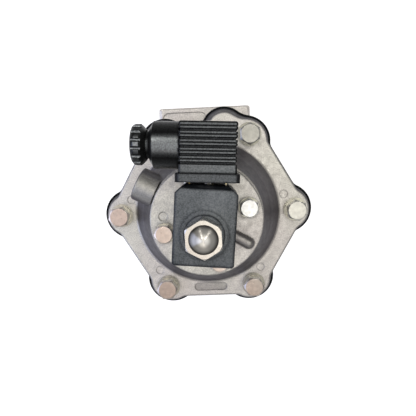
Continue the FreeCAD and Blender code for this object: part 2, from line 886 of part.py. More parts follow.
def riveted_plates():
    """The plates and rivets that clamp the middle of each membrane and ride up and down with it."""
    dome = main_rivet_head
    lower_foot = seat_height - lower_plate_thickness
    hole = main_rivet_radius + rivet_fit
    upper = turned(
        [
            (hole, main_plate_foot),
            (main_plate_radius, main_plate_foot),
            (main_plate_radius, main_plate_top - 1),
            (main_plate_radius - 1, main_plate_top),
            (hole, main_plate_top),
        ]
    )
    lower_radius = passage_radius - lower_plate_clearance
    lower = turned(
        [
            (hole, lower_foot),
            (lower_radius - 2, lower_foot),
            (lower_radius, lower_foot + 2),
            (lower_radius, seat_height),
            (hole, seat_height),
        ]
    )
    rivet = rivet_shape(main_rivet_radius, main_rivet_head_radius, dome, lower_foot, main_plate_top)
    pilot_hole = pilot_rivet_radius + rivet_fit
    pilot_upper = ring(pilot_plate_radius, pilot_hole, pilot_plate_foot, pilot_plate_top)
    pilot_upper = pilot_upper.makeChamfer(0.5, outer_edges(pilot_upper, pilot_plate_top, pilot_plate_radius))
    pilot_rivet = rivet_shape(
        pilot_rivet_radius, pilot_rivet_head_radius, pilot_rivet_head, pilot_seat, pilot_plate_top
    )
    return upper, lower, rivet, pilot_upper, pilot_rivet


def outer_edges(shape, level, radius):
    found = []
    for edge in edges_at(shape, level):
        if isinstance(edge.Curve, Part.Circle) and abs(edge.Curve.Radius - radius) < 1e-4:
            found.append(edge)
    return found


def rivet_shape(radius, head_radius, head, low, high):
    """A rivet with a flat head below and a domed head above the stack that it clamps."""
    return turned(
        [
            (0, low - head),
            (head_radius - head * 0.4, low - head),
            (head_radius, low - head * 0.6),
            (head_radius, low),
            (radius, low),
            (radius, high),
            (head_radius, high),
        ]
        + cap(head_radius, high, head)
    )


def tube_seal_ring():
    """A rubber ring, squeezed flat between the floor of its groove and the tube's collar."""
    foot = boss_top - ring_groove_depth
    middle = (tube_pocket_radius + ring_groove_radius) / 2
    round_ring = Part.makeTorus(middle, ring_section_radius, UP * (foot + ring_groove_depth / 2))
    return round_ring.common(ring(ring_groove_radius, tube_pocket_radius, foot, boss_top))


def guide_tube():
    """The stainless tube that the armature slides in, with its threaded neck and hexagon collar."""
    neck = ring(
        tube_pocket_radius - tube_neck_clearance, tube_bore_radius, boss_top - tube_neck_length, boss_top
    )
    collar = hexagon(tube_collar_width, boss_top, coil_foot, tube_collar_angle).cut(
        disc(tube_bore_radius, boss_top, coil_foot)
    )
    tube = ring(tube_radius, tube_bore_radius, boss_top, tube_top)
    return one(neck, collar, tube)


def fixed_core():
    """The magnetic core that closes the tube: its top is threaded for the nut and ends in a turned dome."""
    core = turned(
        [
            (0, core_foot),
            (tube_bore_radius, core_foot),
            (tube_bore_radius, tube_top),
            (tube_radius, tube_top),
            (tube_radius, nut_top - 0.2),
        ]
        + cap(tube_radius, nut_top - 0.2, dome_height + 0.2)
    )
    groove = ring(shading_outer_radius, shading_inner_radius, core_foot - overlap, core_foot + shading_depth)
    return core.cut(groove)


def shading_ring():
    return ring(shading_outer_radius, shading_inner_radius, core_foot, core_foot + shading_depth)


def armature():
    """The sliding plunger: two slots let air past it, and a pocket in its top holds the spring."""
    radius = tube_bore_radius - armature_clearance
    plunger = disc(radius, armature_foot, armature_top)
    plunger = plunger.cut(disc(armature_pocket_radius, armature_pocket_floor, armature_top))
    plunger = plunger.cut(disc(armature_seal_radius, armature_foot, seal_top()))
    for side in (-1, 1):
        outer = side * (radius + overlap)
        inner = side * (radius - armature_slot_depth)
        slot = block(
            min(inner, outer),
            max(inner, outer),
            -armature_slot_width / 2,
            armature_slot_width / 2,
            armature_foot,
            armature_top,
        )
        plunger = plunger.cut(slot)
    return plunger


def seal_top():
    return armature_seat + armature_seal_thickness


def coil_nut():
    nut = chamfered_hexagon(coil_nut_width, nut_foot, nut_top, nut_flat_share, coil_nut_angle, True)
    return nut.cut(disc(tube_radius + tube_neck_clearance, nut_foot, nut_top))


def on_coil(shape):
    """Turns a piece of the coil and plug to the angle that the coil is clamped at."""
    shape.rotate(Vector(0, 0, 0), UP, coil_turn)
    return shape


def on_plug(shape):
    """Turns a piece of the plug a little further, as it stands loose on the coil's terminals."""
    shape.rotate(Vector(0, plug_foot, 0), UP, plug_turn)
    return on_coil(shape)


def upright_at(edge, y):
    """Whether an edge runs along Z at that distance out."""
    start, end = edge.Vertexes[0].Point, edge.Vertexes[-1].Point
    return abs(start.z - end.z) > overlap and abs(start.y - y) < 1e-4 and abs(end.y - y) < 1e-4


def coil():
    """The moulded coil: a block round the guide tube, with a bevelled tower for the plug."""
    half = coil_width / 2
    body = block(-half, half, -coil_front, coil_back, coil_foot, coil_top - coil_ring_height)
    back_corners = [edge for edge in body.Edges if upright_at(edge, coil_back)]
    body = body.makeChamfer(coil_back_bevel, back_corners)
    front_corners = [edge for edge in body.Edges if upright_at(edge, -coil_front)]
    body = body.makeFillet(coil_edge, front_corners)
    rim = edges_at(body, coil_top - coil_ring_height) + edges_at(body, coil_foot)
    body = body.makeFillet(coil_rim_edge, rim)
    top_ring = disc(coil_ring_radius, coil_top - coil_ring_height - overlap, coil_top)
    low = plug_height - tower_height / 2
    high = plug_height + tower_height / 2
    side = tower_width / 2
    tower = block(-side, side, coil_back - overlap, tower_reach, low, high)
    tower = tower.makeChamfer(tower_bevel * 0.8, edges_at(tower, tower_reach, OUT))
    moulding = one(body, tower, top_ring)
    bore = disc(tube_radius + coil_bore_clearance, coil_foot - overlap, coil_top + overlap)
    screw_hole = rod(
        plug_screw_radius + screw_hole_clearance,
        Vector(0, tower_reach - plug_screw_grip - overlap, plug_height),
        Vector(0, tower_reach + overlap, plug_height),
    )
    moulding = moulding.cut(bore).cut(screw_hole)
    for slot in blades(0):
        moulding = moulding.cut(slot)
    return moulding


def blades(grow):
    """Three flat terminals: two upright at the sides and one lying flat below."""
    thick = blade_thickness / 2 + grow
    wide = blade_width / 2 + grow
    start = tower_reach - blade_root - grow
    end = tower_reach + blade_length + grow
    offset = blade_spacing / 2
    made = []
    for side in (-offset, offset):
        made.append(block(side - thick, side + thick, start, end, plug_height - wide, plug_height + wide))
    low = plug_height - offset
    made.append(block(-wide, wide, start, end, low - thick, low + thick))
    return made


def square_along(width, start, end):
    """A square bar along the plug's own axis, which runs out of the coil's back."""
    half = width / 2
    return block(-half, half, start, end, plug_height - half, plug_height + half)


def plug_seal():
    """The moulded rubber seal that the plug's skirt stands in."""
    seal = fillet_along(square_along(seal_width, plug_foot, housing_foot), OUT, seal_corner)
    seal = seal.cut(square_along(skirt_width, block_foot, housing_foot))
    for slot in blades(blade_clearance):
        seal = seal.cut(slot)
    return seal.cut(plug_screw_way(plug_foot - overlap, housing_foot))


def plug_screw_way(start, end):
    return rod(
        plug_screw_radius + thread_clearance,
        Vector(0, start, plug_height),
        Vector(0, end, plug_height),
    )


def plug_housing():
    """The ribbed plug housing, open to the coil, with a round neck for the cable on its left."""
    shell = fillet_along(square_along(housing_width, housing_foot, housing_end), OUT, housing_edge)
    shell = shell.makeFillet(housing_edge, edges_at(shell, housing_end, OUT))
    for k in range(rib_count):
        deep = housing_foot + rib_start + rib_pitch * k
        fine = deep + rib_pitch / 2
        for middle, width, depth in (
            (deep, deep_groove_width, deep_groove_depth),
            (fine, fine_groove_width, fine_groove_depth),
        ):
            outer = square_along(housing_width + 2 * overlap, middle - width / 2, middle + width / 2)
            inner = square_along(housing_width - 2 * depth, middle - width / 2, middle + width / 2)
            shell = shell.cut(outer.cut(inner))
    skirt = square_along(skirt_width, block_foot, housing_foot + overlap)
    neck = turned(
        [
            (0, 0),
            (neck_radius, 0),
            (neck_radius, neck_end - neck_taper),
            (neck_radius - neck_taper_drop, neck_end),
            (nipple_radius, neck_end),
            (nipple_radius, neck_end + nipple_length),
            (0, neck_end + nipple_length),
        ],
        Vector(0, neck_line, plug_height),
        ACROSS * -1,
    )
    moulding = one(shell, skirt, neck)
    inner_end = housing_end - housing_wall
    hollow = square_along(skirt_width - 2 * housing_wall, block_foot - overlap, inner_end)
    cable_way = rod(
        cable_way_radius,
        Vector(0, neck_line, plug_height),
        Vector(-neck_end - nipple_length - overlap, neck_line, plug_height),
    )
    screw_way = plug_screw_way(inner_end - overlap, housing_end + overlap)
    head_way = rod(
        plug_screw_head_radius + bolt_clearance,
        Vector(0, housing_end - 1.2, plug_height),
        Vector(0, housing_end + overlap, plug_height),
    )
    for cut in (hollow, cable_way, screw_way, head_way):
        moulding = moulding.cut(cut)
    return moulding


def terminal_block():
    """The insert that holds the contacts, with a slot for each blade."""
    insert = square_along(block_width, block_foot, block_foot + block_length)
    insert = fillet_along(insert, OUT, housing_edge)
    for slot in blades(blade_clearance):
        insert = insert.cut(slot)
    insert = insert.cut(plug_screw_way(block_foot - overlap, block_foot + block_length + overlap))
    for place in terminal_places():
        insert = insert.cut(rod(terminal_screw_radius, place - OUT * terminal_screw_length, place + OUT))
    return insert


def terminal_places():
    """Where the wire screws stand in the insert's outer face, one over each contact."""
    face = block_foot + block_length
    across = blade_spacing / 2 - 2.6
    return [
        Vector(-across, face, plug_height),
        Vector(across, face, plug_height),
        Vector(0, face, plug_height - across),
    ]


def terminal_screws():
    screws = []
    for place in terminal_places():
        start = place - OUT * terminal_screw_length
        shank = rod(terminal_screw_radius, start, place)
        head = rod(terminal_screw_radius + 0.6, place, place + OUT * 0.8)
        slot_low = place - Vector(3, 0, 0.3) + OUT * 0.4
        slot = Part.makeBox(6, 1, 0.6, slot_low)
        screws.append(one(shank, head).cut(slot))
    return Part.makeCompound(screws)


def plug_screw():
    """The long screw that holds the plug to the coil."""
    head_foot = housing_end - 1.2
    shank = rod(
        plug_screw_radius,
        Vector(0, tower_reach - plug_screw_grip, plug_height),
        Vector(0, head_foot + overlap / 2, plug_height),
    )
    head = rod(
        plug_screw_head_radius,
        Vector(0, head_foot, plug_height),
        Vector(0, head_foot + plug_screw_head, plug_height),
    )
    head = head.makeFillet(0.6, edges_at(head, head_foot + plug_screw_head, OUT))
    slot = block(-4, 4, head_foot + 1.3, head_foot + 3, plug_height - 0.4, plug_height + 0.4)
    return one(shank, head).cut(slot)


def gland_piece(points):
    """A ring turned about the cable's line. Heights count outward from the neck's end."""
    return turned(points, Vector(-neck_end, neck_line, plug_height), ACROSS * -1)


def gland_nut():
    """The fluted nut that squeezes the grommet on the cable."""
    start = gland_nut_gap
    end = gland_nut_gap + gland_nut_length
    bore = nipple_radius + thread_clearance
    nut = gland_piece(
        [
            (bore, start),
            (bore + 0.7, start),
            (gland_nut_radius - 0.8, start + 1.6),
            (gland_nut_radius, start + 2.6),
            (gland_nut_radius, end - 2.4),
            ("arc", gland_nut_radius - 0.5, end - 0.9),
            (gland_nut_radius - 2.0, end),
            (gland_mouth_radius + 0.6, end),
            (gland_mouth_radius, end - 0.6),
            (gland_mouth_radius, end - gland_nut_wall),
            (bore, end - gland_nut_wall),
        ]
    )
    centre = Vector(-neck_end, neck_line, plug_height)
    for k in range(gland_flutes):
        turn = math.radians(360.0 / gland_flutes * (k + 0.5))
        aside = Vector(0, math.cos(turn), math.sin(turn)) * (gland_nut_radius + gland_flute_radius * 0.25)
        flute_start = centre + aside - ACROSS * start
        nut = nut.cut(rod(gland_flute_radius, flute_start, flute_start - ACROSS * (gland_nut_length + 1)))
    return nut


def gland_grommet():
    end = nipple_length
    outer = cable_way_radius - thread_clearance
    grommet = gland_piece(
        [
            (grommet_bore_radius, end - grommet_length),
            (outer - 0.8, end - grommet_length),
            (outer, end - grommet_length + 0.8),
            (outer, end),
            (grommet_bore_radius, end),
        ]
    )
    return grommet


def gland_ring():
    """The slip ring between the grommet and the nut."""
    return gland_piece(
        [
            (gland_mouth_radius, nipple_length),
            (nipple_radius, nipple_length),
            (nipple_radius, nipple_length + gland_ring_thickness),
            (gland_mouth_radius, nipple_length + gland_ring_thickness),
        ]
    )


def build():
    """Every piece under the name of its node."""
    bolts, flat_washers, split_washers = cover_fasteners()
    small_bolts, small_washers = pilot_fasteners()
    upper, lower, rivet, pilot_upper, pilot_rivet = riveted_plates()
    pieces = {
        "valve_body": valve_body(),
        "main_membrane": main_membrane(),
        "main_cover": main_cover(),
        "cover_bolts": bolts,
        "cover_flat_washers": flat_washers,
        "cover_spring_washers": split_washers,
        "main_spring": coil_spring(
            main_spring_wire, main_spring_radius, main_spring_turns, main_plate_top, spring_seat
        ),
        "pilot_membrane": pilot_membrane(),
        "pilot_cover": pilot_cover(),
        "pilot_bolts": small_bolts,
        "pilot_spring_washers": small_washers,
        "pilot_spring": coil_spring(
            pilot_spring_wire, pilot_spring_radius, pilot_spring_turns, pilot_plate_top, pilot_pocket_top
        ),
        "tube_seal_ring": tube_seal_ring(),
        "guide_tube": guide_tube(),
        "fixed_core": fixed_core(),
        "shading_ring": shading_ring(),
        "coil_nut": coil_nut(),
        "nut_washer": ring(nut_washer_radius, tube_radius + tube_neck_clearance, coil_top, nut_foot),
        "upper_plate": upper,
        "lower_plate": lower,
        "membrane_rivet": rivet,
        "pilot_plate": pilot_upper,
        "pilot_rivet": pilot_rivet,
        "armature": armature(),
        "armature_seal": disc(armature_seal_radius, armature_seat, seal_top()),
        "armature_spring": coil_spring(
            armature_spring_wire,
            armature_spring_radius,
            armature_spring_turns,
            armature_pocket_floor,
            core_foot,
        ),
        "coil": on_coil(coil()),
        "coil_terminals": on_coil(Part.makeCompound(blades(0))),
        "plug_seal": on_plug(plug_seal()),
        "plug_housing": on_plug(plug_housing()),
        "terminal_block": on_plug(terminal_block()),
        "terminal_screws": on_plug(terminal_screws()),
        "plug_screw": on_plug(plug_screw()),
        "gland_nut": on_plug(gland_nut()),
        "gland_grommet": on_plug(gland_grommet()),
        "gland_ring": on_plug(gland_ring()),
    }
    return pieces


os.makedirs("parts", exist_ok=True)
for node, piece in build().items():
    piece.exportStep("parts/" + node + ".step")
    solids = piece.Solids
    print(node, len(solids), round(sum(s.Volume for s in solids), 1), all(s.isValid() for s in solids))
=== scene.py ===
# %% [markdown]
# # A pulse valve for a dust collector
# The valve stands on its outlet with the solenoid on top. Every rigid part comes from the CAD model,
# which is loaded as a fixed frame and is never moved. This lesson gives the parts their finishes,
# builds the membranes, springs and threads, and then lights and frames the valve.
# We load the frame first and keep its box.

# %% Load the frame
import math

import bmesh
import bpy
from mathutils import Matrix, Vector


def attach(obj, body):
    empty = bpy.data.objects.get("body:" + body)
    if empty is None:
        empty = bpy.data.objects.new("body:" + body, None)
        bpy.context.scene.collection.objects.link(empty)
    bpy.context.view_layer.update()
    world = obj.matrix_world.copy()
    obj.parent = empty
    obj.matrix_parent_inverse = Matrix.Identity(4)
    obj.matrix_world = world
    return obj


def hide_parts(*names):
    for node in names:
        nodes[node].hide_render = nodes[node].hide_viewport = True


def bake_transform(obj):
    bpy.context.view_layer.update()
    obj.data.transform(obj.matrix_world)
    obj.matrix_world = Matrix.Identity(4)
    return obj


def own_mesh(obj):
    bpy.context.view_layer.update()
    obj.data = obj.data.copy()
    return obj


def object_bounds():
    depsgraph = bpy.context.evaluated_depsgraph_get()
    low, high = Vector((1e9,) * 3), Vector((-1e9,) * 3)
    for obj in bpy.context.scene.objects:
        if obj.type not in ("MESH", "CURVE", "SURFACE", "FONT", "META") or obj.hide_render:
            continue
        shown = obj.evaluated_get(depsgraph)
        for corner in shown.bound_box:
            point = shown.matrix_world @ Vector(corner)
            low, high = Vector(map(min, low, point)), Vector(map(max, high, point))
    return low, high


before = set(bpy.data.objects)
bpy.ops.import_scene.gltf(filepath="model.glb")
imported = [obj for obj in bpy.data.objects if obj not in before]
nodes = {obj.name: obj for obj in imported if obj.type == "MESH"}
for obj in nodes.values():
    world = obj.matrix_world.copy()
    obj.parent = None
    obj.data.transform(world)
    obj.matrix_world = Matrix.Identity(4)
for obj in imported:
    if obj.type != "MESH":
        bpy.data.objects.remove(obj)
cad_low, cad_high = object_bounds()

MM = 0.001
low_mm = [round(v / MM) for v in cad_low]
high_mm = [round(v / MM) for v in cad_high]
print(len(nodes), "parts from", low_mm, "to", high_mm)

# %% [markdown]
# ## Small helpers for node materials
# A finish is a graph of nodes. We could place each node by hand, but most finishes here share the same
# few steps, so short helpers keep each cell readable: start a finish, add a node, and join two sockets.
# The last two also work on the world further down, because that is a node graph too.

# %% Helpers for finishes
def new_finish(name, **settings):
    """A material with its main shader, whose plain values are set on the shader's own sockets."""
    finish = bpy.data.materials.new(name)
    finish.use_nodes = True
    shader = shader_of(finish)
    for socket, value in settings.items():
        shader.inputs[socket.replace("_", " ")].default_value = value
    return finish


def shader_of(finish):
    return finish.node_tree.nodes["Principled BSDF"]


def add(finish, kind, **settings):
    """One more node. Settings that name a socket fill it, and the others are the node's own options."""
    node = finish.node_tree.nodes.new("ShaderNode" + kind)
    for key, value in settings.items():
        socket = key.replace("_", " ")
        if socket in node.inputs:
            node.inputs[socket].default_value = value
        else:
            setattr(node, key, value)
    return node


def join(finish, source, target):
    finish.node_tree.links.new(source, target)


print("helpers ready")

# %% [markdown]
# ## Values and colours
# Nearly every surface is a base colour that is made a little lighter or darker from place to place.
# Three helpers do that. One carries a range of values over to another, one turns a value into grey
# levels, and one mixes or multiplies two colours. A multiplied grey keeps the hue, so most finishes
# below are a chain of such greys.

# %% Values and colours
def spread(finish, source, low, high, to_low, to_high):
    """Carries one range of values over to another, and holds its ends."""
    node = add(finish, "MapRange", From_Min=low, From_Max=high, To_Min=to_low, To_Max=to_high)
    join(finish, source, node.inputs["Value"])
    return node.outputs["Result"]


def ramp(finish, source, stops):
    """Grey levels given as (value, level), with straight lines between them."""
    node = add(finish, "ValToRGB")
    marks = node.color_ramp.elements
    marks[0].position, marks[1].position = stops[0][0], stops[-1][0]
    for value, _ in stops[1:-1]:
        marks.new(value)
    for mark, (_, level) in zip(marks, stops):
        mark.color = (level, level, level, 1)
    join(finish, source, node.inputs["Fac"])
    return node.outputs["Color"]


def colour_mix(finish, factor, first, second, blend="MIX"):
    """Mixes two colours. Each is a colour or another node's output."""
    node = add(finish, "Mix", data_type="RGBA", blend_type=blend)
    for socket, value in ((0, factor), (6, first), (7, second)):
        if isinstance(value, (tuple, float, int)):
            node.inputs[socket].default_value = value
        else:
            join(finish, value, node.inputs[socket])
    return node.outputs[2]


def times(finish, colour, shade):
    """A colour made lighter or darker by a shade."""
    return colour_mix(finish, 1.0, colour, shade, "MULTIPLY")


print("values and colours ready")

# %% [markdown]
# ## Where a surface is, and which way it faces
# A finish can read the place, the slope and the corners of the surface that it covers. Places come in
# the part's own coordinates, so a finish stays put when its part moves, and no UV map is needed. All
# of them look the same from every side, so they also survive when the finish is baked to images.

# %% Places, slopes and corners
def one_axis(finish, vector, axis):
    """One axis of a vector as a plain value."""
    split = add(finish, "SeparateXYZ")
    join(finish, vector, split.inputs["Vector"])
    return split.outputs[axis]


def reach_along(finish, vector, way):
    """How far a vector reaches in one direction."""
    node = add(finish, "VectorMath", operation="DOT_PRODUCT")
    node.inputs[1].default_value = way
    join(finish, vector, node.inputs[0])
    return node.outputs["Value"]


def own_place(finish):
    """The place on the part, in the part's own coordinates."""
    return add(finish, "TexCoord").outputs["Object"]


def absolute(finish, value):
    node = add(finish, "Math", operation="ABSOLUTE")
    join(finish, value, node.inputs[0])
    return node.outputs[0]


def facing_up(finish, softened=0.0):
    """1 on a level face, 0 on a wall, -1 underneath. It can fade over edges by that many millimetres."""
    if softened:
        surface = add(finish, "Bevel", samples=6, Radius=softened * MM)
    else:
        surface = add(finish, "NewGeometry")
    return one_axis(finish, surface.outputs["Normal"], "Z")


def out_of_corners(finish, reach, shut, free, darkest):
    """1 in the open, and down to the darkest shade in corners, by the share of sky that is free."""
    sky = add(finish, "AmbientOcclusion", samples=8, Distance=reach * MM)
    return spread(finish, sky.outputs["AO"], shut, free, darkest, 1.0)


print("places, slopes and corners ready")

# %% [markdown]
# ## Noise and grain
# Noise does two jobs. A broad one makes a colour wander, and a fine one lifts and sinks the surface a
# few hundredths of a millimetre, which the eye reads as the grain of the material. The same step rounds
# hard edges a little, because the light on a real edge is never a line.

# %% Noise and grain
def noise(finish, size, detail=2.0, stretch=(1, 1, 1)):
    """Noise whose patches are about that size in millimetres."""
    scaled = add(finish, "Mapping", Scale=stretch)
    texture = add(finish, "TexNoise", Scale=1 / (size * MM), Detail=detail)
    join(finish, own_place(finish), scaled.inputs["Vector"])
    join(finish, scaled.outputs["Vector"], texture.inputs["Vector"])
    return texture.outputs["Fac"]


def grain(finish, heights, edge=0.0):
    """Stacks bumps given as (output, depth in millimetres), over edges rounded by that many millimetres."""
    below = None
    if edge:
        rounded = add(finish, "Bevel", samples=6, Radius=edge * MM)
        below = rounded.outputs["Normal"]
    for height, depth in heights:
        bump = add(finish, "Bump", Distance=depth * MM, Strength=1.0)
        join(finish, height, bump.inputs["Height"])
        if below is not None:
            join(finish, below, bump.inputs["Normal"])
        below = bump.outputs["Normal"]
    join(finish, below, shader_of(finish).inputs["Normal"])


def coat_part(finish, *names):
    """Gives CAD parts a finish through their material slots."""
    for name in names:
        slots = nodes[name].material_slots
        for slot in slots:
            slot.material = finish
        if not slots:
            nodes[name].data.materials.append(finish)
    print(finish.name, "on", ", ".join(names))


print("noise and grain ready")

# %% [markdown]
# ## Die-cast aluminium
# The body and the covers are pressure die castings that were tumbled: warm grey and satin, with a fine
# speckle and a slow drift between beige and rosy grey. We could paint one even grey, but it would read as
# plastic. So the colour is a chain: drift, speckle, blotches, and then three painted shades that follow from
# the shape. Steep walls are painted darker, hollow corners get a painted shade, and a step in height can set
# one face apart from the next with a painted shade.

# %% Cast finish
def cast_colour(finish):
    """Tumbled aluminium, before any shade that follows from the shape."""
    beige, rosy = (0.70, 0.68, 0.62, 1), (0.68, 0.64, 0.61, 1)
    drift = spread(finish, noise(finish, 45, 1.5), 0.38, 0.62, 0, 1)
    speckle = spread(finish, noise(finish, 0.75, 3), 0.35, 0.65, 0.84, 1.14)
    blotch = spread(finish, noise(finish, 5, 3), 0.35, 0.65, 0.95, 1.04)
    return times(finish, times(finish, colour_mix(finish, drift, beige, rosy), speckle), blotch)


def cast_metal(name, painted_wall_shade, steep=0.52, level=0.88, wall_metal=1.0, steps=(), softened=0.0, corner=0.45):
    """A casting whose walls take a painted wall shade. Steps are (height in mm, shade below, shade above),
    painted shades by height.
    """
    finish = new_finish(name, Metallic=1.0)
    # Painted shade: steep walls, and flat faces softened towards their edges, take the painted wall shade.
    upright = absolute(finish, facing_up(finish, softened))
    wall = colour_mix(finish, spread(finish, upright, steep, level, 0, 1), painted_wall_shade, (1, 1, 1, 1))
    tone = times(finish, cast_colour(finish), wall)
    if wall_metal < 1:
        bare = spread(finish, upright, steep, level, wall_metal, 1.0)
        join(finish, bare, shader_of(finish).inputs["Metallic"])
    # Painted shade in hollow corners, down to the corner value.
    tone = times(finish, tone, out_of_corners(finish, 3.0, 0.35, 0.95, corner))
    fade = 0.15
    # Painted shades by height, one step after another.
    for height, below, above in steps:
        here = one_axis(finish, own_place(finish), "Z")
        tone = times(finish, tone, spread(finish, here, height * MM, (height + fade) * MM, below, above))
    join(finish, tone, shader_of(finish).inputs["Base Color"])
    rough = spread(finish, noise(finish, 3, 3), 0.3, 0.7, 0.42, 0.6)
    join(finish, rough, shader_of(finish).inputs["Roughness"])
    grain(finish, [(noise(finish, 0.9, 3), 0.05), (noise(finish, 7, 2), 0.08)], edge=0.5)
    return finish


print("cast finish ready")

# %% [markdown]
# The body is nearly the same grey all over, with its walls only a little darker, a painted shade. The
# cover's cone and rim are another matter: they take a dark, bluish painted shade and reflection of the room,
# and are made less like bare metal. The rim's side and the upper half of the cone get a further painted
# shade. On the pilot cover, the boss and the rib stand above its flat face and are painted darker too. Both
# covers soften the slope over an edge, so that their flat faces darken gently towards it, a painted shade.

# %% Coat the castings
body_casting = cast_metal("cast body", (0.9, 0.9, 0.9, 1))
rim_top, cone_middle, pilot_face = 95.55, 107, 129.5
# The cover's dark, bluish walls are a painted shade and reflection of the room.
cover_casting = cast_metal(
    "cast cover", (0.143, 0.139, 0.162, 1), steep=0.64, level=1.0, wall_metal=0.25,
    steps=((rim_top, 0.66, 1.0), (cone_middle, 1.0, 0.74)), softened=1.6, corner=0.85)
pilot_casting = cast_metal(
    "cast pilot cover", (0.3, 0.3, 0.31, 1), steep=0.75, level=0.995,
    steps=((pilot_face, 1.0, 0.62),), softened=1.6)
coat_part(body_casting, "valve_body")
coat_part(cover_casting, "main_cover")
coat_part(pilot_casting, "pilot_cover")

# %% [markdown]
# ## Plated steel
# Bolts are cold-headed and zinc plated: bright, slightly rosy or yellow, with small dents from the barrel
# that they were plated in. No two heads look alike, because each one mirrors another part of the room. One
# finish paints that reflection with a tint that drifts from one side of the valve to the other, and a
# painted falloff of light that darkens it away from its middle. The flanks of a head get their own pale
# tone, a painted glint.

# %% Plated finish
def plated_steel(name, first, second, rough, dent=0.03, stained=0.14, edge=0.3):
    """Plating tinted from the first colour to the second across the valve, a painted reflection, with
    painted falloff and flank glints.
    """
    finish = new_finish(name, Metallic=1.0)
    # Painted reflection: the tint drifts across the valve, and a painted falloff darkens it away from the
    # middle.
    across = reach_along(finish, own_place(finish), (0.7, 0.7, 0))
    drift = spread(finish, across, -20 * MM, 12 * MM, 1, 0)
    away = absolute(finish, one_axis(finish, own_place(finish), "Y"))
    painted_falloff = spread(finish, away, 0, 49 * MM, 1.12, 0.72)
    tone = times(finish, colour_mix(finish, drift, first, second), painted_falloff)
    # Painted glint: the flanks of a head take a pale tone.
    painted_flank_glint = (0.78, 0.77, 0.74, 1)
    tone = colour_mix(finish, spread(finish, facing_up(finish), 0.7, 0.97, 0, 1), painted_flank_glint, tone)
    stain = spread(finish, noise(finish, 2.5, 3), 0.3, 0.7, 1.0 - stained, 1.0 + stained / 2)
    join(finish, times(finish, tone, stain), shader_of(finish).inputs["Base Color"])
    wear = spread(finish, noise(finish, 1.2, 3), 0.3, 0.7, rough * 0.8, rough * 1.25)
    join(finish, wear, shader_of(finish).inputs["Roughness"])
    grain(finish, [(noise(finish, 2.2, 2), dent), (noise(finish, 0.4, 2), dent * 0.3)], edge=edge)
    return finish


print("plated finish ready")

# %% [markdown]
# Four kinds of plating cover the steel parts. The pilot's bolts are the brightest, a painted highlight. The
# washers are duller and more olive, because they rub against the castings. The coil's nut is nickel plated,
# which is smoother than zinc and hardly stained. The single number is the roughness.

# %% Coat the bolts, plates and nut
zinc = plated_steel("zinc plated bolt", (0.62, 0.60, 0.54, 1), (0.63, 0.51, 0.44, 1), 0.33)
# The pilot bolts' lighter colours are a painted highlight.
painted_highlight_zinc = plated_steel("zinc plated pilot bolt", (0.80, 0.79, 0.76, 1), (0.68, 0.56, 0.48, 1), 0.33)
dull_zinc = plated_steel("dull zinc washer", (0.62, 0.60, 0.50, 1), (0.60, 0.56, 0.47, 1), 0.42)
nickel = plated_steel("bright nickel", (0.60, 0.565, 0.50, 1), (0.61, 0.55, 0.50, 1), 0.26,
                      dent=0.003, stained=0.03, edge=0.12)
coat_part(zinc, "cover_bolts", "plug_screw", "upper_plate", "lower_plate", "membrane_rivet",
          "pilot_plate", "pilot_rivet")
coat_part(painted_highlight_zinc, "pilot_bolts")
coat_part(dull_zinc, "cover_spring_washers", "pilot_spring_washers", "cover_flat_washers")
coat_part(nickel, "coil_nut")

# %% [markdown]
# ## Turned stainless steel
# The top of the fixed core is a dome left straight from the lathe. Its tool marks run in circles, so light
# smears across them and makes the bright rays that cross the dome. The anisotropic setting of the shader
# does that when its tangent runs round the axis. A faint wave of rings varies the shine, as the path of the
# tool does. The dome also mirrors a dark room at its edge, which a ramp over the slope paints in as shade,
# together with a painted highlight on its crown.

# %% Turned steel
def turned_steel(name, rough, smear, domed=False):
    """Steel with circular tool marks round the valve's axis."""
    finish = new_finish(name, Metallic=1.0, Roughness=rough, Anisotropic=smear, Anisotropic_Rotation=0.25)
    around = add(finish, "Tangent", direction_type="RADIAL", axis="Z")
    join(finish, around.outputs["Tangent"], shader_of(finish).inputs["Tangent"])
    ring_scale, ring_depth = 100.0, 0.0012
    rings = add(finish, "TexWave", wave_type="RINGS", rings_direction="Z", Scale=ring_scale, Distortion=0.4)
    join(finish, own_place(finish), rings.inputs["Vector"])
    tone = times(finish, (0.86, 0.83, 0.77, 1), spread(finish, rings.outputs["Fac"], 0, 1, 0.82, 1.0))
    if domed:
        # Painted shade towards the dome's edge, and a painted highlight on its crown.
        stops = ((0.3, 0.7), (0.45, 0.09), (0.72, 0.12), (0.92, 0.6), (0.985, 1.1))
        tone = times(finish, tone, ramp(finish, facing_up(finish), stops))
    join(finish, tone, shader_of(finish).inputs["Base Color"])
    grain(finish, [(rings.outputs["Fac"], ring_depth)])
    return finish


coat_part(turned_steel("turned dome", 0.34, 1.0, domed=True), "fixed_core")
coat_part(turned_steel("turned steel", 0.31, 0.6), "guide_tube", "armature")
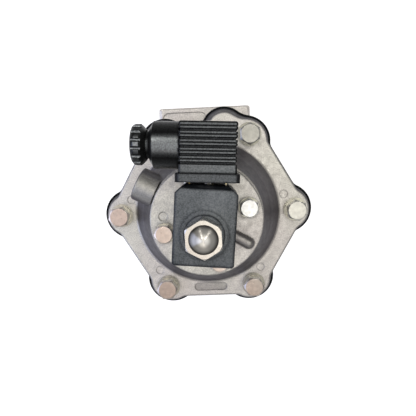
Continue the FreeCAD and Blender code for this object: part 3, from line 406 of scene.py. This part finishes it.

# %% [markdown]
# ## Moulded plastics
# The coil is over-moulded in a black, glass-filled plastic with a dry, fine grain and pale scuffs. The plug
# is a smoother black nylon. Seen from straight ahead, both mirror the pale ceiling, and they fall to deep
# black on every rounded edge. A plain gloss would lift those edges instead, so the gloss here follows the
# angle between the surface and the eye, which paints that black in as shade. In grooves it fades as well, a
# painted shade, because a groove mirrors only its own walls.

# %% Plastic finish
def moulded_plastic(name, tone, rough, grain_size, depth, gloss=0.5, ior=1.6, edge=0.5, scuff=0.0,
                    grooved=True, neck_end=None):
    """Black plastic that shines on its faces, and stays dull in grooves and round its edges."""
    finish = new_finish(name, Specular_IOR_Level=gloss, IOR=ior, Specular_Tint=(0.90, 0.96, 1.0, 1))
    mottle = spread(finish, noise(finish, grain_size * 1.6, 3), 0.35, 0.65, 0.72, 1.25)
    colour = times(finish, tone, mottle)
    if scuff:
        rub = spread(finish, noise(finish, 8, 4, (1, 0.3, 1)), 0.5, 0.72, 0, scuff)
        colour = colour_mix(finish, rub, colour, (0.16, 0.165, 0.17, 1))
    join(finish, colour, shader_of(finish).inputs["Base Color"])
    rounded = add(finish, "Bevel", samples=6, Radius=edge * MM)
    # Painted shade: the gloss dies away where the surface turns from the eye.
    glance = add(finish, "LayerWeight", Blend=0.5)
    join(finish, rounded.outputs["Normal"], glance.inputs["Normal"])
    shine = times(finish, spread(finish, glance.outputs["Facing"], 0.0, 0.16, gloss, gloss * 0.04), mottle)
    dull = spread(finish, noise(finish, 6, 3), 0.3, 0.7, rough * 0.88, rough * 1.12)
    # Painted shade: the gloss fades in grooves and corners.
    if grooved:
        sky = out_of_corners(finish, 1.6, 0.55, 0.9, 0.05)
        dull = colour_mix(finish, sky, (0.9, 0.9, 0.9, 1), dull)
        shine = times(finish, shine, sky)
    if neck_end is not None:
        along = one_axis(finish, own_place(finish), "X")
        duller = spread(finish, along, neck_end * MM, (neck_end + 0.5) * MM, 1.0, 0.6)
        shine = times(finish, shine, duller)
    join(finish, dull, shader_of(finish).inputs["Roughness"])
    join(finish, shine, shader_of(finish).inputs["Specular IOR Level"])
    grain(finish, [(noise(finish, grain_size, 3), depth)], edge=edge)
    return finish


print("plastic finish ready")

# %% [markdown]
# Each plastic part differs from the next only in a few numbers. The plug's round neck is polished and
# its ribbed box isn't, so that finish changes where the neck ends. The insert with the contacts is a
# plain dark grey, and so is the slip ring in the gland.

# %% Coat the plastics
coil_black = moulded_plastic(
    "coil plastic", (0.022, 0.025, 0.029, 1), rough=0.42, grain_size=0.4, depth=0.03,
    gloss=0.9, ior=1.72, edge=2.0, scuff=0.3, grooved=False)
plug_black = moulded_plastic(
    "plug plastic", (0.007, 0.007, 0.007, 1), rough=0.3, grain_size=0.45, depth=0.03,
    gloss=1.0, ior=2.0, neck_end=-10.5)
gland_black = moulded_plastic(
    "gland plastic", (0.010, 0.010, 0.010, 1), rough=0.3, grain_size=0.5, depth=0.006,
    gloss=1.0, ior=2.4, edge=0.2)
insert_grey = moulded_plastic(
    "insert plastic", (0.10, 0.10, 0.10, 1), rough=0.45, grain_size=0.5, depth=0.01)
coat_part(coil_black, "coil", "nut_washer")
coat_part(plug_black, "plug_housing")
coat_part(gland_black, "gland_nut")
coat_part(insert_grey, "terminal_block", "gland_ring")

# %% [markdown]
# ## Rubber
# The seals and the grommet are black rubber: duller than plastic, with a soft bloom of dust. The
# plug's seal lies flat under the same ceiling as the plastics, so it takes their finish, only softer.
# The membranes are of smoother sheet, nearly without bloom.

# %% Rubber
def rubber(name, tone=(0.016, 0.016, 0.017, 1), gloss=0.9, dust=0.25):
    """Black rubber with a pale bloom in patches."""
    finish = new_finish(name, Roughness=0.42, Specular_IOR_Level=gloss, IOR=1.55)
    bloom = spread(finish, noise(finish, 4, 3), 0.35, 0.7, 0, dust)
    colour = colour_mix(finish, bloom, tone, (0.05, 0.05, 0.052, 1))
    join(finish, colour, shader_of(finish).inputs["Base Color"])
    grain(finish, [(noise(finish, 0.35, 2), 0.012)], edge=0.3)
    return finish


flat_seal = moulded_plastic(
    "plug seal rubber", (0.014, 0.014, 0.015, 1), rough=0.45, grain_size=0.4, depth=0.02,
    gloss=0.75, ior=1.72, edge=1.2, grooved=False)
coat_part(flat_seal, "plug_seal")
coat_part(rubber("seal rubber"), "gland_grommet", "tube_seal_ring")
coat_part(rubber("seat rubber", (0.03, 0.022, 0.018, 1)), "armature_seal")
sheet_rubber = rubber("sheet rubber", (0.006, 0.007, 0.009, 1), gloss=0.06, dust=0.03)

# %% [markdown]
# ## Contacts and shading ring
# The three contacts and the clamping screws are tinned brass, where yellow shows through the tin in
# patches. The ring in the pole face of the core is bare copper. Both are small, so two colours that
# swap in a fine noise are enough.

# %% Contact metals
def contact_metal(name, first, second):
    """Metal in patches of two colours."""
    finish = new_finish(name, Metallic=1.0, Roughness=0.3)
    patches = spread(finish, noise(finish, 1.5, 2), 0.4, 0.6, 0, 1)
    join(finish, colour_mix(finish, patches, first, second), shader_of(finish).inputs["Base Color"])
    grain(finish, [(noise(finish, 0.3, 2), 0.004)], edge=0.1)
    return finish


brass = contact_metal("tinned brass", (0.80, 0.62, 0.30, 1), (0.80, 0.76, 0.66, 1))
copper = contact_metal("copper", (0.80, 0.36, 0.22, 1), (0.70, 0.30, 0.18, 1))
coat_part(brass, "coil_terminals", "terminal_screws")
coat_part(copper, "shading_ring")

# %% [markdown]
# ## From a mesh to an object
# The parts that we build ourselves start as loose geometry in a bmesh, which is Blender's workbench
# for meshes. This helper turns it into an object with one finish. The other one closes a row of loops
# into a tube, and both the springs and the threads use it.

# %% Helpers for built pieces
def new_piece(name, shape, finish):
    """An object in the scene, made from a bmesh, which is used up."""
    mesh = bpy.data.meshes.new(name)
    shape.to_mesh(mesh)
    shape.free()
    mesh.materials.append(finish)
    piece = bpy.data.objects.new(name, mesh)
    bpy.context.scene.collection.objects.link(piece)
    print(name, len(mesh.polygons), "faces")
    return piece


def skin(shape, loops):
    """Joins each loop of vertices to the next one, closes both ends and turns all faces outwards."""
    for here, after in zip(loops, loops[1:]):
        for j in range(len(here)):
            k = (j + 1) % len(here)
            shape.faces.new((here[j], here[k], after[k], after[j]))
    shape.faces.new(loops[0])
    shape.faces.new(list(reversed(loops[-1])))
    bmesh.ops.recalc_face_normals(shape, faces=shape.faces)


print("mesh helpers ready")

# %% [markdown]
# ## The rubber membranes
# A membrane is one sheet of cloth-backed rubber. Its rim is clamped between two castings, and its middle is
# riveted between plates that lift. We build its middle surface, dished from the clamped rim to the plates,
# and leave the thickness to a Solidify modifier, which keeps the sheet evenly thick. The rim's outline is
# taken from the face of the CAD sheet, so that it shows evenly all round between the castings.

# %% Membrane builder
def clamped_rim(node, face_level, clamp_radius):
    """The flat face of the CAD sheet outside its clamp, and the edges round its hole."""
    sheet = bmesh.new()
    sheet.from_mesh(nodes[node].data)
    bmesh.ops.remove_doubles(sheet, verts=sheet.verts, dist=0.001 * MM)
    spare = []
    for face in sheet.faces:
        middle = face.calc_center_median()
        level = face.normal.z > 0.99 and abs(middle.z - face_level * MM) < 0.05 * MM
        if not level or middle.xy.length <= clamp_radius * MM:
            spare.append(face)
    bmesh.ops.delete(sheet, geom=spare, context="FACES")
    inner = []
    for edge in sheet.edges:
        off = max(abs(v.co.xy.length - clamp_radius * MM) for v in edge.verts)
        if edge.is_boundary and off < 0.2 * MM:
            inner.append(edge)
    return sheet, inner


def membrane(name, node, face_level, clamp_radius, profile, thickness):
    """A sheet that runs from its clamped rim inwards along a profile of (radius, drop)."""
    sheet, inner = clamped_rim(node, face_level, clamp_radius)
    middle = (face_level - thickness / 2) * MM
    for v in sheet.verts:
        v.co.z = middle
    for radius, drop in profile:
        made = bmesh.ops.extrude_edge_only(sheet, edges=inner)["geom"]
        for v in (g for g in made if isinstance(g, bmesh.types.BMVert)):
            away = v.co.xy.normalized() * radius * MM
            v.co = Vector((away.x, away.y, middle - drop * MM))
        inner = [g for g in made if isinstance(g, bmesh.types.BMEdge) and g.is_boundary]
    bmesh.ops.recalc_face_normals(sheet, faces=sheet.faces)
    piece = new_piece(name, sheet, sheet_rubber)
    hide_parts(node)
    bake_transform(piece)
    thicken = piece.modifiers.new("thickness", "SOLIDIFY")
    thicken.thickness = thickness * MM
    thicken.offset = 0


print("membrane builder ready")

# %% [markdown]
# At rest both sheets are dished: they fall in a smooth wave from the clamp to the flat middle under
# the plates. A cosine gives that wave, because it leaves the rim and reaches the plate without a kink.

# %% Build the membranes
def wave_down(outer, inner, drop, steps):
    """A smooth fall from the clamped rim to the flat middle, as (radius, drop)."""
    profile = []
    for k in range(1, steps + 1):
        share = k / steps
        profile.append((outer + (inner - outer) * share, drop * (1 - math.cos(math.pi * share)) / 2))
    return profile


main_clamp, main_drop = 41.0, 6.0
main_profile = wave_down(main_clamp, 29.0, main_drop, 10)
main_profile += [(radius, main_drop) for radius in (20.0, 10.0, 4.3)]
membrane("main_membrane_sheet", "main_membrane", face_level=90.0, clamp_radius=main_clamp,
         profile=main_profile, thickness=2.5)

pilot_clamp, pilot_drop = 19.5, 1.0
pilot_profile = wave_down(pilot_clamp, 15.5, pilot_drop, 6)
pilot_profile += [(radius, pilot_drop) for radius in (10.0, 5.0, 2.3)]
membrane("pilot_membrane_sheet", "pilot_membrane", face_level=120.0, clamp_radius=pilot_clamp,
         profile=pilot_profile, thickness=2.0)

# %% [markdown]
# ## Springs
# A compression spring has closed ends: its last turn lies flat so that it stands square. We sweep a round
# section along a helix whose pitch dies away at both ends.

# %% Spring builder
def spring(name, node, wire, radius, turns, low, high):
    """A wound wire between two levels, in millimetres."""
    section_points, points_per_turn = 14, 28
    closed = 0.75
    total = turns + 2 * closed
    steps = int(total * points_per_turn)
    open_height = high - low - 6 * wire
    shape = bmesh.new()
    loops = []
    for k in range(steps + 1):
        turn = total * k / steps
        opened = min(max((turn - closed) / turns, 0), 1)
        laid_low = min(turn, closed) / closed
        laid_high = max(turn - closed - turns, 0) / closed
        level = low + wire + 2 * wire * (laid_low + laid_high) + open_height * opened
        angle = 2 * math.pi * turn
        outwards = Vector((math.cos(angle), math.sin(angle), 0))
        loop = []
        for j in range(section_points):
            side = 2 * math.pi * j / section_points
            point = outwards * (radius + wire * math.cos(side))
            point.z = level + wire * math.sin(side)
            loop.append(shape.verts.new(point * MM))
        loops.append(loop)
    skin(shape, loops)
    piece = new_piece(name, shape, spring_steel)
    for polygon in piece.data.polygons:
        polygon.use_smooth = True
    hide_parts(node)
    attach(piece, "housing")
    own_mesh(piece)


print("spring builder ready")

# %% [markdown]
# There are three springs: a wide one over the main membrane, a small one over the pilot membrane, and
# a thin long one inside the armature. Wire means the wire's own radius, and low and high are the
# levels of the two ends.

# %% Build the springs
spring_steel = plated_steel("drawn spring wire", (0.42, 0.41, 0.40, 1), (0.46, 0.44, 0.42, 1), 0.3,
                            dent=0.004)
spring("main_spring_wound", "main_spring", wire=0.8, radius=15.8, turns=2.5, low=87.0, high=102.5)
spring("pilot_spring_wound", "pilot_spring", wire=0.35, radius=5.4, turns=2.0, low=121.0, high=126.6)
spring("armature_spring_wound", "armature_spring", wire=0.3, radius=2.1, turns=6.0, low=143.2, high=154.0)

# %% [markdown]
# ## Port threads
# Both ports carry an inch-and-a-half pipe thread. CAD leaves plain bores, because a thread is a fine
# detail there. A ridge wound round the bore as one strip of mesh reads as a cut thread, and it fades
# in over the first turn, as the chamfer at the mouth cuts it away. Its root lies just inside the wall,
# so that no gap shows.

# %% Thread builder
def thread(name, mouth, inward):
    """A ridge with a flat crest that winds into a port from its mouth. Millimetres."""
    pitch, root, crest = 2.309, 22.5, 21.6
    first, last = 1.6, 20.5
    turns = (last - first) / pitch - 1
    points_per_turn = 90
    steps = int(turns * points_per_turn)
    way = Vector(inward)
    across = Vector((1, 0, 0))
    aside = way.cross(across)
    shape = bmesh.new()
    loops = []
    for k in range(steps + 1):
        turn = turns * k / steps
        top = root + (crest - root) * min(turn, turns - turn, 1.0)
        angle = 2 * math.pi * turn
        out = across * math.cos(angle) + aside * math.sin(angle)
        loop = []
        for share, radius in ((0.04, root), (0.42, top), (0.58, top), (0.96, root)):
            depth = first + pitch * (turn + share)
            loop.append(shape.verts.new((Vector(mouth) + way * depth + out * radius) * MM))
        loops.append(loop)
    skin(shape, loops)
    piece = new_piece(name, shape, body_casting)
    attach(piece, "housing")


thread("inlet_thread", (0, 69.5, 47.0), (0, -1, 0))
thread("outlet_thread", (0, 0, 0), (0, 0, 1))

# %% [markdown]
# ## Floor
# The valve stands on a plain white floor. A floor that only reflects light would come out grey under
# soft lamps, so it also glows a little, but only for rays from the camera, and for mirror and glass
# rays, so that metal shows the same floor. The part that reflects keeps the valve's shadow.

# %% Floor
def floor_finish(glow):
    """White that glows only for the rays that look at it."""
    finish = new_finish("white floor", Roughness=0.9, Base_Color=(0.6, 0.6, 0.6, 1),
                        Emission_Color=(1, 1, 1, 1))
    rays = add(finish, "LightPath")
    seen = rays.outputs["Is Camera Ray"]
    for kind in ("Is Glossy Ray", "Is Transmission Ray"):
        either = add(finish, "Math", operation="MAXIMUM")
        join(finish, seen, either.inputs[0])
        join(finish, rays.outputs[kind], either.inputs[1])
        seen = either.outputs[0]
    join(finish, spread(finish, seen, 0, 1, 0, glow), shader_of(finish).inputs["Emission Strength"])
    return finish


floor_radius = 6.0
disc = bmesh.new()
bmesh.ops.create_circle(disc, cap_ends=True, segments=96, radius=floor_radius)
floor = new_piece("floor", disc, floor_finish(0.75))

# %% [markdown]
# ## World
# Metal shows the room that it mirrors, so the room has to be right before the lamps. It is a pale
# horizon, a dark belt above it and a bright ceiling. Flat faces mirror the ceiling and come out light,
# and sloping ones mirror the belt and come out dark. The ceiling is brighter on the right and over the
# inlet, and a trace rosier on the left, which gives each lobe of the flange its own tone. Each stop of
# the ramp is a height and a brightness.

# %% Room light
world = bpy.data.worlds.new("studio")
bpy.context.scene.world = world
world.use_nodes = True
background = world.node_tree.nodes["Background"]
direction = add(world, "TexCoord").outputs["Generated"]
height = one_axis(world, direction, "Z")
horizon, belt_foot, belt_top, ceiling = (0.22, 0.85), (0.36, 0.1), (0.72, 0.1), (0.95, 0.89)
belts = ramp(world, height, (horizon, belt_foot, belt_top, ceiling))
brighter_side = (0.45, 0.35, 0)
tilt = spread(world, reach_along(world, direction, brighter_side), -0.25, 0.25, 0.88, 1.38)
overhead = spread(world, height, 0.5, 0.75, 0, 1)
join(world, colour_mix(world, overhead, belts, tilt, "MULTIPLY"), background.inputs["Strength"])
rightwards = spread(world, one_axis(world, direction, "X"), -0.35, 0.25, 0, 1)
warmth = colour_mix(world, rightwards, (1.0, 0.95, 0.93, 1), (1.0, 1.0, 0.96, 1))
room_tone = colour_mix(world, overhead, (1.0, 1.0, 1.0, 1), warmth)
join(world, room_tone, background.inputs["Color"])
print("room of", len(world.node_tree.nodes), "nodes")

# %% [markdown]
# ## Lamps
# The photograph looks straight down under a pale ceiling, with a window to the left. Most of the light
# comes from the world, and the lamps add what it can't. A soft one high on the right gives the shapes
# a lit side. Three smaller ones around the valve make the bright rays on the dome and the glints on
# the bolts. A wide cool one, low on the left, stands for the window.

# %% Soft lamps
def soft_lamp(name, place, size, power, tone):
    """A round lamp that looks at the middle of the valve. Metres and watts."""
    light = bpy.data.lights.new(name, "AREA")
    light.shape = "DISK"
    light.size = size
    light.energy = power
    light.color = tone
    lamp = bpy.data.objects.new(name, light)
    bpy.context.scene.collection.objects.link(lamp)
    lamp.location = place
    aim = Vector((0, 0, 0.1)) - Vector(place)
    lamp.rotation_euler = aim.to_track_quat("-Z", "Y").to_euler()
    print(name, "at", place)


soft_lamp("ceiling right", (0.13, -0.2, 1.5), size=0.56, power=0.62, tone=(1.0, 1.0, 0.98))
soft_lamp("strip left", (-0.33, 0.66, 1.3), size=0.26, power=1.7, tone=(1.0, 0.98, 0.92))
soft_lamp("strip right", (0.54, 0.49, 1.3), size=0.26, power=1.7, tone=(1.0, 0.98, 0.92))
soft_lamp("strip low", (-0.05, -0.6, 1.3), size=0.26, power=0.45, tone=(1.0, 0.93, 0.88))
soft_lamp("window", (-1.0, -0.1, 0.6), size=1.3, power=7.0, tone=(0.62, 0.70, 1.0))

# %% [markdown]
# ## Camera
# The camera's place, tilt and lens were worked out from sixteen points that are plain to see in the
# photograph, such as bolt centres and the corners of the coil. It looks almost straight down from a
# short distance, and that is why the solenoid looks large against the flange.

# %% Camera
lens = bpy.data.cameras.new("camera")
lens.sensor_width = 36.0
lens.lens = 32.94
lens.clip_start = 0.01
camera = bpy.data.objects.new("camera", lens)
bpy.context.scene.collection.objects.link(camera)
camera.location = (6.89 * MM, 35.0 * MM, 342.0 * MM)
camera.rotation_euler = [math.radians(angle) for angle in (-7.515, 1.232, -2.417)]
bpy.context.scene.camera = camera
bpy.context.scene.view_settings.view_transform = "Standard"
print("camera", round(camera.location.z / MM), "mm above the outlet")
